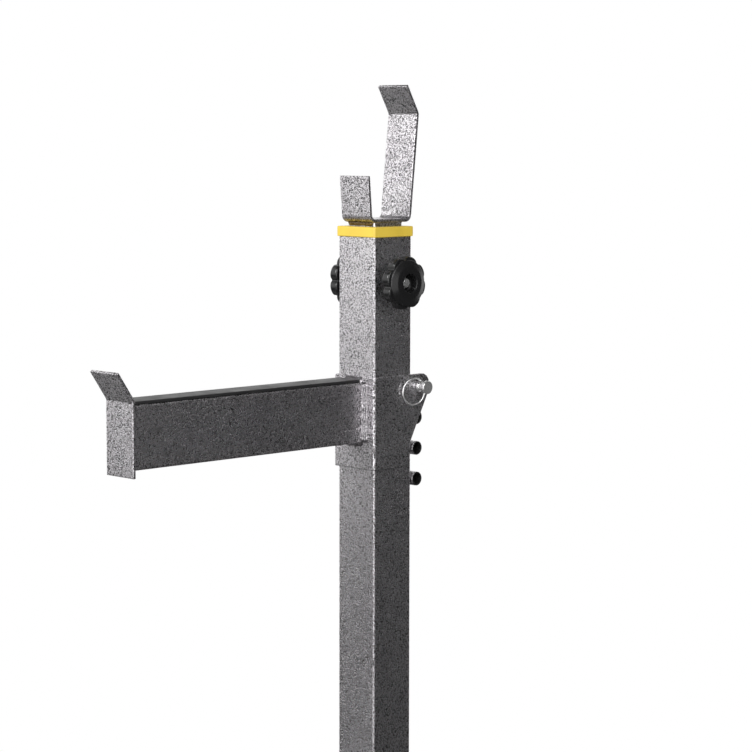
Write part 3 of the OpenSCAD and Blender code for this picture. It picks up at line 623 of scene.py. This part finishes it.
def bead_skin(start, end, first, second, leg, phase=0.0, bulge=0.5, pitch=0.0017, runs=1):
    """A bead in the corner between two faces, from start to end. At an angle between the faces, its reach is
    a mean of the straight fillet's and the round one's, less where two runs meet. Ripples, each the square of
    the distance back to the last puddle edge, run forward in the middle of the bead, and the reach falls as a
    quarter circle at both ends."""
    start, end, first, second = (np.array(v, float) for v in (start, end, first, second))
    length = np.linalg.norm(end - start)
    rows = int(length / pitch * 6) + 2
    swing = np.concatenate([np.linspace(0, 0.06, 4)[:-1], np.linspace(0.06, 0.94, rows),
                            np.linspace(0.94, 1, 4)[1:]])
    along = (swing * length)[:, None]
    angle = np.radians(np.linspace(-4, 94, 8 * runs + 3))[None]
    straight = 1 / np.maximum(np.cos(angle) + np.sin(angle), 0.7)
    reach = leg * ((1 - bulge) * straight + bulge * 0.97)
    if runs > 1:
        seams = 2 * runs * angle + 0.5 * np.sin(along * 230 + phase) + 0.3 * np.sin(along * 710 + 2 * phase)
        reach = reach * (0.86 + 0.14 * np.abs(np.sin(seams)))
    ripple = (along / pitch + 0.9 * np.sin(2 * angle) + 0.25 * np.sin(along * 410 + phase) + phase) % 1.0
    wobble = 0.03 * np.sin(along * 530 + 2.1 * phase) + 0.025 * np.sin(along * 217 + phase)
    reach = reach * (1 - 0.10 / runs * ripple ** 2 + wobble - 0.05)
    to_end = np.minimum(along, length - along) / (0.8 * leg)
    reach = reach * np.sqrt(np.clip(1 - np.clip(1 - to_end, 0, 1) ** 2, 0.0004, 1))
    in_corner = np.full_like(along, -0.0003)
    a = np.hstack([reach * np.cos(angle), in_corner])[:, :, None]
    b = np.hstack([reach * np.sin(angle), in_corner])[:, :, None]
    return capped(start + along[:, :, None] * (end - start) / length + a * first + b * second), False, True


weld_paint = hammer_paint("painted_weld", silver=(0.52, 0.50, 0.52), speck=(0.05, 0.047, 0.05),
                          speck_share=0.6, depth=0.00008, rough=0.32)

weld_leg, corner_low, corner_high, plate_run, face_run = 0.005, 0.014, 0.060, 0.06, 0.0235
base_beads = []
for y in (-1, 1):
    for x in (-1, 1):
        ends = [(x * base_half, y * runner_end, z) for z in (corner_low, corner_high)]
        base_beads.append(bead_skin(*ends, (x, 0, 0), (0, -y, 0), weld_leg, x + 2 * y))
for x in (-1, 1):
    ends = [(x * base_half, axis_y + y, base_top) for y in (-plate_run, plate_run)]
    base_beads.append(bead_skin(*ends, (x, 0, 0), (0, 0, -1), weld_leg, 0.4 * x))
fit(skin("base_beads", *base_beads), weld_paint, "weld_paint", "stand", "base_welds")

upright_beads = []
for out_x, out_y in tube_faces:
    for side in (-1, 1):
        ends = [(out_x * tube_half + side * abs(out_y) * from_middle,
                 axis_y + out_y * tube_half + side * abs(out_x) * from_middle,
                 tube_foot) for from_middle in (gusset_half, face_run)]
        phase = 1.3 * side + out_x + 2 * out_y
        upright_beads.append(bead_skin(*ends, (out_x, out_y, 0), (0, 0, 1), weld_leg, phase))
fit(skin("upright_beads", *upright_beads), weld_paint, "weld_paint", "stand", "upright_welds")


# The peg tubes: four short pieces of 14 mm tube lie across the upright's back, 31 mm apart, welded above and
# below. The pull pin goes through one of them. Their ends are cut square. Their bores, with an inner ring of
# each end face, take a near-black paint that is painted shade.
peg_y, peg_half, peg_bore, peg_round = 0.134, 0.0257, 0.005, 0.007
peg_heights = (0.9, 0.869, 0.838, 0.807)
# The near-black bore paint is painted shade, standing for the shade inside each bore.
bore_painted_shade = hammer_paint("bore_painted_shade", silver=(0.05, 0.048, 0.05), speck=(0.02, 0.02, 0.02),
                          speck_share=0.8, depth=0.0002, rough=0.6)
painted_shade_reach = 0.0064
peg_section = rounded_path([(-peg_half, peg_bore), (-peg_half, peg_round),
                            (peg_half, peg_round), (peg_half, peg_bore)], 0.0005, closed=True, steps=3)
for count, height in enumerate(peg_heights, 1):
    peg = skin("peg_%d" % count, turned_skin(peg_section, ALONG_X, (0, peg_y, height), 40, closed=True))
    fit(peg, hammertone, "hammertone_paint", "stand", "peg_tube_%d" % count)
    peg.data.materials.append(bore_painted_shade)
    # Faces nearer the axis than the reach, in the bore and on an inner ring of each end face, take the painted
    # shade.
    middles = np.empty(3 * len(peg.data.polygons))
    peg.data.polygons.foreach_get("center", middles)
    from_axis = np.hypot(middles[1::3] - peg_y, middles[2::3] - height)
    peg.data.polygons.foreach_set("material_index", (from_axis < painted_shade_reach).astype(np.int32))


def peg_bead_skin(height, phase):
    """The weld that fills the gap between the upright and a peg tube: a section that is tall at the upright
    and narrow at the peg is carried along the peg, its height rippled by a square law and rounded off at both
    ends."""
    near, far, run_half, fall = 0.0253, 0.0318, 0.0202, 0.004
    section = rounded_path([(near, -0.008), (far, -0.0056), (far, 0.0056), (near, 0.008)],
                           [0, 0.0015, 0.0015, 0], steps=4)
    along = np.linspace(-run_half, run_half, 151)[:, None]
    ripple = (along / 0.0019 + phase + 0.3 * np.sin(along * 500 + phase)) % 1.0
    ends = np.sqrt(np.clip(1 - np.clip(1 - (run_half - np.abs(along)) / fall, 0, 1) ** 2, 0.01, 1))
    y = near + (section[None, :, 0] - near) * (0.35 + 0.65 * ends)
    z = section[None, :, 1] * (1 - 0.07 * ripple ** 2) * (0.6 + 0.4 * ends)
    return capped(np.stack([np.broadcast_to(along, y.shape), y + axis_y, z + height], 2)), False, True


peg_beads = skin("peg_beads", *[peg_bead_skin(height, 1.7 * k) for k, height in enumerate(peg_heights)])
fit(peg_beads, weld_paint, "weld_paint", "stand", "peg_welds")


# The sliding post: a 38 mm square tube that slides in the bushing and in a plastic guide plug at its lower
# end. Holes every 75 mm let the lock bolt hold it at seven heights.
post_half, post_wall, post_foot, post_top, hole_apart = 0.019, 0.0025, 0.4455, 1.064, 0.075
post = skin("post", tube_skin(post_half, post_half, tube_round, post_wall, post_foot, post_top,
                              UP, (0, axis_y, 0)))
post_hole = hole_profile(bolt_hole, -post_half, post_half)
drill(post, *[turned_skin(post_hole, ALONG_X, (0, axis_y, bolt_z - hole_apart * k), 32) for k in range(7)])
fit(post, hammertone, "hammertone_paint", "post", "sliding_post")
guide_half, guide_low, guide_in, guide_in_low, guide_in_high = 0.0221, 0.4375, 0.0158, 0.4456, 0.4615
guide_edge, guide_in_round = 0.0008, 0.001
guide = skin("guide_plug",
             slab_skin(guide_half, guide_half, tube_round, guide_low, post_foot, guide_edge, UP, (0, axis_y, 0)),
             slab_skin(guide_in, guide_in, guide_in_round, guide_in_low, guide_in_high, guide_edge,
                       UP, (0, axis_y, 0)))
fit(guide, black_plastic, "bushing_plastic", "post", "post_guide")


# The saddle: one strip of 3.5 mm plate bent into a low lip, a floor and a tall back whose tip leans forward.
# It is welded on top of the post, front and back, and the weld's heat has turned the paint brown on the beads.
# Every face of the plate that faces down takes the same brown paint, partly for that browning and partly as
# painted shade under the plate.
def strip_skin(outer, turn_radius, thick, width, edge, origin):
    """A strip of plate bent from flat. The corners of its outer side, in (y, z), are moved inwards by half
    the thickness to give the middle line, whose corners become arcs. A rectangle with round corners,
    thickness by width, is carried along that line square to it, and its edges round off at both ends."""
    outer = np.asarray(outer, float)
    way = np.diff(outer, axis=0)
    way /= np.linalg.norm(way, axis=1)[:, None]
    left = np.stack([-way[:, 1], way[:, 0]], 1)
    at_corners = (left[1:] + left[:-1]) / (1 + (left[1:] * left[:-1]).sum(1))[:, None]
    bend = np.vstack([left[:1], at_corners, left[-1:]])
    line = rounded_path(outer + bend * thick / 2, turn_radius + thick / 2, steps=12)
    run = np.diff(line, axis=0)
    run /= np.linalg.norm(run, axis=1)[:, None]
    tangent = np.vstack([run[:1], run[1:] + run[:-1], run[-1:]])
    tangent /= np.linalg.norm(tangent, axis=1)[:, None]
    swing = np.linspace(0, math.pi / 2, 4)
    begin = np.append(edge * (1 - np.cos(swing)), edge + 0.0003)[:, None]
    finish = np.append(edge * (1 - np.sin(swing)), 0)
    line = np.vstack([line[:1] + begin * run[:1], line[1:-1], line[-1:] - begin[::-1] * run[-1:]])
    tangent = np.vstack([np.repeat(tangent[:1], 5, 0), tangent[1:-1], np.repeat(tangent[-1:], 5, 0)])
    inset = np.concatenate([finish, np.zeros(len(line) - 10), finish[::-1]])
    rings = rectangle_rings(thick / 2 - inset, width / 2 - inset, np.maximum(edge - inset, 0.0001),
                            np.zeros(len(line)), 3)
    normal = np.stack([-tangent[:, 1], tangent[:, 0]], 1)
    y = line[:, None, 0] + rings[:, :, 0] * normal[:, None, 0]
    z = line[:, None, 1] + rings[:, :, 0] * normal[:, None, 1]
    return capped(np.stack([rings[:, :, 1], y, z], 2) + np.array(origin, float)), False, True


lip_lean, back_lean, tip_lean = math.radians(4.5), math.radians(6), math.radians(29.5)
lip_y, lip_height, back_y, back_height, tip_length = -0.026, 0.0455, 0.03, 0.107, 0.032
strip_thick, strip_wide, strip_turn, strip_edge = 0.0035, 0.04, 0.004, 0.0007
back_top = np.array([back_y + back_height * math.tan(back_lean), back_height])
tip_top = back_top + tip_length * np.array([-math.sin(tip_lean), math.cos(tip_lean)])
saddle_outer = [(lip_y - lip_height * math.tan(lip_lean), lip_height), (lip_y, 0.0), (back_y, 0.0),
                tuple(back_top), tuple(tip_top)]
saddle = skin("saddle_plate", strip_skin(saddle_outer, strip_turn, strip_thick, strip_wide, strip_edge,
                                         (0, axis_y, post_top)))
fit(saddle, hammertone, "hammertone_paint", "post", "saddle")
browned_and_shaded = hammer_paint("browned_weld_and_painted_shade", silver=(0.36, 0.30, 0.25), speck=(0.05, 0.038, 0.03),
                       speck_share=0.9, depth=0.0002, rough=0.4)
# The brown paint on the downward faces is partly browning near the welds and partly painted shade under the
# plate.
saddle.data.materials.append(browned_and_shaded)
facing = np.empty(3 * len(saddle.data.polygons))
saddle.data.polygons.foreach_get("normal", facing)
saddle.data.polygons.foreach_set("material_index", (facing[2::3] < -0.9).astype(np.int32))

saddle_leg, saddle_run = 0.0038, 0.0172
saddle_beads = []
for side, phase in ((-1, 0.3), (1, 1.9)):
    ends = [(x, axis_y + side * post_half, post_top) for x in (-saddle_run, saddle_run)]
    saddle_beads.append(bead_skin(*ends, (0, side, 0), (0, 0, -1), saddle_leg, phase))
fit(skin("saddle_beads", *saddle_beads), browned_and_shaded, "weld_paint", "post", "saddle_welds")


# The height lock: a bolt with a black star knob goes through the upright and the post from one side. A second
# star knob, with a hexagon insert in its recess, screws on to the bolt's end. A washer lies under each.
AGAINST_X = ((0, 1, 0), (0, 0, 1), (-1, 0, 0))
bolt_line = (0, axis_y, bolt_z)
knob_back, insert_low, insert_high, bolt_tip, stud_end = 0.0281, 0.0326, 0.0406, 0.0446, -0.0401


def star_knob_skin(hollow, axes, rim, disc, phase):
    """A star knob along X. Its profile runs from the washer side over the hub, the lobed rim and a smooth
    domed disc. On the rim, the radius at each angle is a smooth minimum of the profile's and the star's, and
    the star is a smooth maximum of the valley circle and of eight round lobes set on a circle."""
    steps, lobe, seat, valley, soft = 240, 0.0081, 0.0189, 0.0222, 0.0016
    hub, reach, round_off = 0.0135, 0.0272, 0.0026
    turn = np.arange(steps) * 2 * math.pi / steps
    off = (turn - phase) % (math.pi / 4) - math.pi / 8
    round_lobe = seat * np.cos(off) + np.sqrt(np.maximum(lobe ** 2 - (seat * np.sin(off)) ** 2, 0))
    blend = np.clip(0.5 + 0.5 * (round_lobe - valley) / soft, 0, 1)
    star = valley + (round_lobe - valley) * blend + soft * blend * (1 - blend) * 0.5
    front, edge, crown = rim + 0.0096, rim + 0.0108, rim + 0.014
    lobed = rounded_path([(rim, hub), (rim, reach), (front, reach), (front, disc - 0.0002)],
                         [0, round_off, round_off, 0], steps=7)
    dome = [(front, disc - 0.0002), (edge, disc - 0.0003), (rim + 0.0133, 0.016)]
    if hollow:
        eye, recess = 0.0056, 0.00925
        back = rounded_path([(insert_high, eye), (knob_back, eye), (knob_back, hub), (rim, hub)],
                            [0, 0.0003, 0.0008, 0], steps=4)
        dome += [(crown, 0.0112), (crown, recess), (insert_high, recess), (insert_high, eye)]
        dome = rounded_path(dome, [0, 0.001, 0.008, 0.003, 0.0007, 0.0004, 0], steps=6)
    else:
        back = rounded_path([(-stud_end, 0), (-stud_end, bolt_radius), (knob_back, bolt_radius),
                             (knob_back, hub), (rim, hub)], [0, 0, 0.0003, 0.0004, 0], steps=4)
        dome = rounded_path(dome + [(crown, 0.008), (crown, 0)], [0, 0.001, 0.008, 0.006, 0], steps=6)
    share = np.clip(0.5 + 0.5 * (star[None] - lobed[:, 1:]) / round_off, 0, 1)
    rim_radius = star[None] * (1 - share) + lobed[:, 1:] * share - round_off * share * (1 - share)
    rim_radius[0] = lobed[0, 1]
    radius = np.vstack([np.repeat(back[:-1, 1:], steps, 1), rim_radius, np.repeat(dome[:, 1:], steps, 1)])
    along = np.concatenate([back[:-1, 0], lobed[:, 0], dome[:, 0]])
    return placed(around(radius, along, turn), axes, bolt_line), hollow, True


knob_plastic = moulded_plastic("knob_black", (0.011, 0.011, 0.0115), rough=0.22, grain=0.00002, sheen=0.6)
far_knob = skin("far_knob", star_knob_skin(False, AGAINST_X, rim=0.0291, disc=0.0205, phase=0.0))
fit(far_knob, knob_plastic, "knob_plastic", "lock_bolt", "bolt_knob")
near_phase = math.radians(8)
near_knob = skin("near_knob", star_knob_skin(True, ALONG_X, rim=0.0356, disc=0.0230, phase=near_phase))
fit(near_knob, knob_plastic, "knob_plastic", "nut_knob", "nut_knob")
insert_wide = 0.017
insert = skin("hex_insert", hexagon_skin(insert_wide, insert_low, insert_high, ALONG_X, bolt_line, bore=nut_bore))
fit(insert, zinc, "zinc_plate", "nut_knob", "nut_insert")
shank = [(stud_end, 0), (stud_end, 0.0046), (-0.0397, bolt_radius),
         (0.017, bolt_radius), (0.0178, 0.0047), (0.0178, 0)]
stud = skin("stud", turned_skin(shank, ALONG_X, bolt_line, 36),
            thread_skin(bolt_radius, 0.0175, bolt_tip, bolt_pitch, ALONG_X, bolt_line))
fit(stud, zinc, "zinc_plate", "lock_bolt", "lock_bolt")
washer_x = 0.0258
for name, axes, x, body in (("far_washer", AGAINST_X, -washer_x, "bolt_washer"),
                            ("near_washer", ALONG_X, washer_x, "nut_washer")):
    washer = skin(name, turned_skin(washer_section, axes, (x, axis_y, bolt_z), closed=True))
    fit(washer, zinc, "zinc_plate", body, body)


# The spotter's bracket: one piece of 2.5 mm sheet folded round the front and sides of the upright.
# Behind the upright its sides run out into two ears, drilled for the pull pin.
def bracket_skin():
    """The folded sheet. Its plan, from one ear's tip round the front to the other's, is a line with two arcs,
    and each point of the line has a slim upright section, as tall as the sheet is there: from a lower edge
    that steps up behind the tube and slopes to the ear, to an upper edge that falls in a quarter circle at
    the ear's tip."""
    sheet_half, reach, tube_back, tip = 0.00125, 0.02735, 0.0205, 0.048
    top, foot, ear_foot, ear_rise, ear_middle, ear_round = 0.913, 0.821, 0.843, 0.053, 0.038, 0.01
    swing = np.linspace(0.2, math.pi / 2, 9)
    ear = np.concatenate([ear_middle + ear_round * np.cos(swing),
                          [0.032, 0.0275, tube_back + 0.00001, tube_back - 0.00001, 0.0]])
    fold = rounded_path([(-reach, -0.01), (-reach, -reach), (reach, -reach), (reach, -0.01)],
                        [0, 0.0013, 0.0013, 0], steps=6)
    plan = np.vstack([[[-reach, tip]], np.stack([np.full(len(ear), -reach), ear], 1), fold,
                      np.stack([np.full(len(ear), reach), ear[::-1]], 1), [[reach, tip]]])
    run = np.diff(plan, axis=0)
    run /= np.linalg.norm(run, axis=1)[:, None]
    way = np.vstack([run[:1], run[1:] + run[:-1], run[-1:]])
    way /= np.linalg.norm(way, axis=1)[:, None]
    y = plan[:, 1]
    fall = np.sqrt(np.clip(ear_round ** 2 - (y - ear_middle) ** 2, 0, None))
    upper = np.where(y > ear_middle, top - ear_round + fall, top)
    lower = np.where(y > tube_back, ear_foot + (y - tube_back) / (tip - tube_back) * ear_rise, foot)
    inset = np.where(np.arange(len(y)) % (len(y) - 1) == 0, 0.0004, 0.0)
    rings = rectangle_rings(sheet_half - inset, (upper - lower) / 2 - inset, 0.0009, np.zeros(len(y)), 4)
    normal = np.stack([-way[:, 1], way[:, 0]], 1)
    grid = np.stack([plan[:, None, 0] + rings[:, :, 0] * normal[:, None, 0],
                     plan[:, None, 1] + rings[:, :, 0] * normal[:, None, 1] + axis_y,
                     ((upper + lower) / 2)[:, None] + rings[:, :, 1]], 2)
    return capped(grid), False, True


pin_line, pin_hole, ear_outside = (0, peg_y, peg_heights[0]), 0.005, 0.0286
bracket = skin("bracket", bracket_skin())
drill(bracket, turned_skin(hole_profile(pin_hole, -ear_outside, ear_outside), ALONG_X, pin_line, 40))
fit(bracket, hammertone, "hammertone_paint", "spotter", "spotter_bracket")


# The spotter arm: a 30 by 60 mm tube welded to the bracket's front, with a hard black plastic strip on top.
# A bent end plate stands up past the strip, so that nothing rolls off.
arm_half, arm_tall, arm_wall, arm_length, arm_root, arm_mid = 0.015, 0.03, 0.0025, 0.29, 0.0714, 0.878
arm_end, arm_top = arm_root - arm_length, arm_mid + arm_tall
arm_axes = ((1, 0, 0), (0, 0, 1), (0, -1, 0))
arm = skin("arm", tube_skin(arm_half, arm_tall, tube_round, arm_wall, 0.0, arm_length, arm_axes,
                            (0, arm_root, arm_mid)))
fit(arm, hammertone, "hammertone_paint", "spotter", "arm_tube")
liner_half, liner_y, liner_thick, liner_round, liner_edge = 0.142, -0.0766, 0.003, 0.0012, 0.0009
liner_plastic = moulded_plastic("liner_black", (0.018, 0.018, 0.019), rough=0.46, grain=0.00005, sheen=0.45)
liner = skin("liner", slab_skin(arm_half, liner_half, liner_round, arm_top, arm_top + liner_thick, liner_edge,
                                UP, (0, liner_y, 0)))
fit(liner, liner_plastic, "liner_plastic", "spotter", "arm_liner")

end_lean, end_foot, end_height, end_tip = math.radians(34.5), 0.8415, 0.0705, 0.033
end_thick, end_wide = 0.003, 0.039
end_outer = [(0.0, 0.0), (0.0, end_height),
             (-end_tip * math.sin(end_lean), end_height + end_tip * math.cos(end_lean))]
end_plate = skin("end_stop", strip_skin(end_outer, strip_turn, end_thick, end_wide, strip_edge,
                                        (0, arm_end, end_foot)))
fit(end_plate, hammertone, "hammertone_paint", "spotter", "end_plate")

side_leg, side_low, side_high, across_run = 0.0062, 0.8475, 0.9085, 0.0135
arm_beads = []
for x in (-1, 1):
    ends = [(x * arm_half, arm_root, z) for z in (side_low, side_high)]
    side_bead = bead_skin(*ends, (x, 0, 0), (0, -1, 0), side_leg, 0.7 * x, bulge=0.62, pitch=0.0040, runs=3)
    arm_beads.append(side_bead)
for side in (-1, 1):
    ends = [(x, arm_root, arm_mid + side * arm_tall) for x in (-across_run, across_run)]
    arm_beads.append(bead_skin(*ends, (0, -1, 0), (0, 0, side), weld_leg, 0.9 * side))
fit(skin("arm_beads", *arm_beads), weld_paint, "weld_paint", "spotter", "arm_welds")
end_leg, end_bead_low, end_bead_high = 0.004, 0.850, 0.906
end_beads = []
for x in (-1, 1):
    ends = [(x * arm_half, arm_end, z) for z in (end_bead_low, end_bead_high)]
    end_beads.append(bead_skin(*ends, (x, 0, 0), (0, 1, 0), end_leg, 1.1 * x))
fit(skin("end_beads", *end_beads), weld_paint, "weld_paint", "spotter", "end_welds")


# The pull pin: turned steel, zinc-plated, with a collar that stops on the ear, a neck and a button head.
# A sprung ball near its tip keeps it in, and a split ring of wire hangs in a hole through its neck.
bright = zinc_plating("bright_zinc", tone=0.86, rough=0.2)
pin_corners = [(-0.0376, 0), (-0.0376, 0.0037), (-0.0366, 0.0047), (0.0289, 0.0047), (0.0289, 0.0055),
               (0.0319, 0.0055), (0.0319, 0.0044), (0.0381, 0.0044), (0.0381, 0.00675), (0.0405, 0.00675),
               (0.0411, 0.00615), (0.0411, 0)]
pin_radii = [0, 0.0004, 0.0004, 0.0001, 0.0004, 0.0005, 0.0002, 0.0002, 0.0004, 0.0003, 0.0003, 0]
pin_profile = rounded_path(pin_corners, pin_radii, steps=3, ease=0.00008)
ring_x, ring_hang, ring_hole, neck = 0.0352, math.radians(18), 0.0016, 0.0044
ring_place = (ring_x, *pin_line[1:])
HUNG = ((1, 0, 0), (0, math.cos(ring_hang), math.sin(ring_hang)),
        (0, -math.sin(ring_hang), math.cos(ring_hang)))
ball_x, pocket, pocket_floor = -0.0331, 0.00205, -0.00235
pocket_profile = [(pocket_floor, 0), (pocket_floor, pocket), (0.0047, pocket), (0.006, pocket), (0.006, 0)]
pin = skin("pin", turned_skin(pin_profile, ALONG_X, pin_line, 48))
drill(pin, turned_skin(hole_profile(ring_hole, -neck, neck), HUNG, ring_place, 24),
      turned_skin(pocket_profile, UP, (ball_x, *pin_line[1:]), 24))
fit(pin, bright, "zinc_plate", "pull_pin", "pull_pin")

ball_radius, ball_rise = 0.002, 0.00285
ball_swing = np.linspace(-math.pi / 2, math.pi / 2, 17)
ball_arc = np.stack([ball_radius * np.sin(ball_swing), ball_radius * np.cos(ball_swing)], 1)
ball = skin("ball", turned_skin(ball_arc, UP, (ball_x, peg_y, pin_line[2] + ball_rise), 32))
fit(ball, bright, "zinc_plate", "pull_pin", "detent_ball")


def ring_skin(wire, reach, drop, lean):
    """A wire ring: a small circle carried round a large one, which leans about its hinge and turns with the
    pin."""
    large, small = np.meshgrid(np.arange(96) * math.pi / 48, np.arange(14) * math.pi / 7, indexing="ij")
    out = reach + wire * np.cos(small)
    local = np.stack([wire * np.sin(small), out * np.cos(large) - drop, out * np.sin(large)], 2)
    swing = np.array([(math.cos(lean), -math.sin(lean), 0), (math.sin(lean), math.cos(lean), 0), (0, 0, 1)])
    return placed(local @ swing, HUNG, ring_place), True, True


ring = skin("ring", ring_skin(wire=0.0009, reach=0.0132, drop=0.012823, lean=math.radians(10)))
fit(ring, bright, "zinc_plate", "pull_ring", "pull_ring")

spring_steel = zinc_plating("spring_steel", tone=0.5, rough=0.35)
coils, coil_radius, coil_wire, coil_tall = 4, 0.0016, 0.0002, 0.0021
turns = np.linspace(0, 2 * math.pi * coils, 129)[:, None]
coil_small = np.arange(8)[None] * math.pi / 4
coil_out = coil_radius + coil_wire * np.cos(coil_small)
coil_up = coil_wire + coil_tall * turns / turns[-1] + coil_wire * np.sin(coil_small)
coil = np.stack([coil_out * np.cos(turns), coil_out * np.sin(turns), coil_up], 2)
spring = skin("spring", (placed(capped(coil), UP, (ball_x, peg_y, pin_line[2] + pocket_floor)), False, True))
fit(spring, spring_steel, "zinc_plate", "pull_pin", "detent_spring")
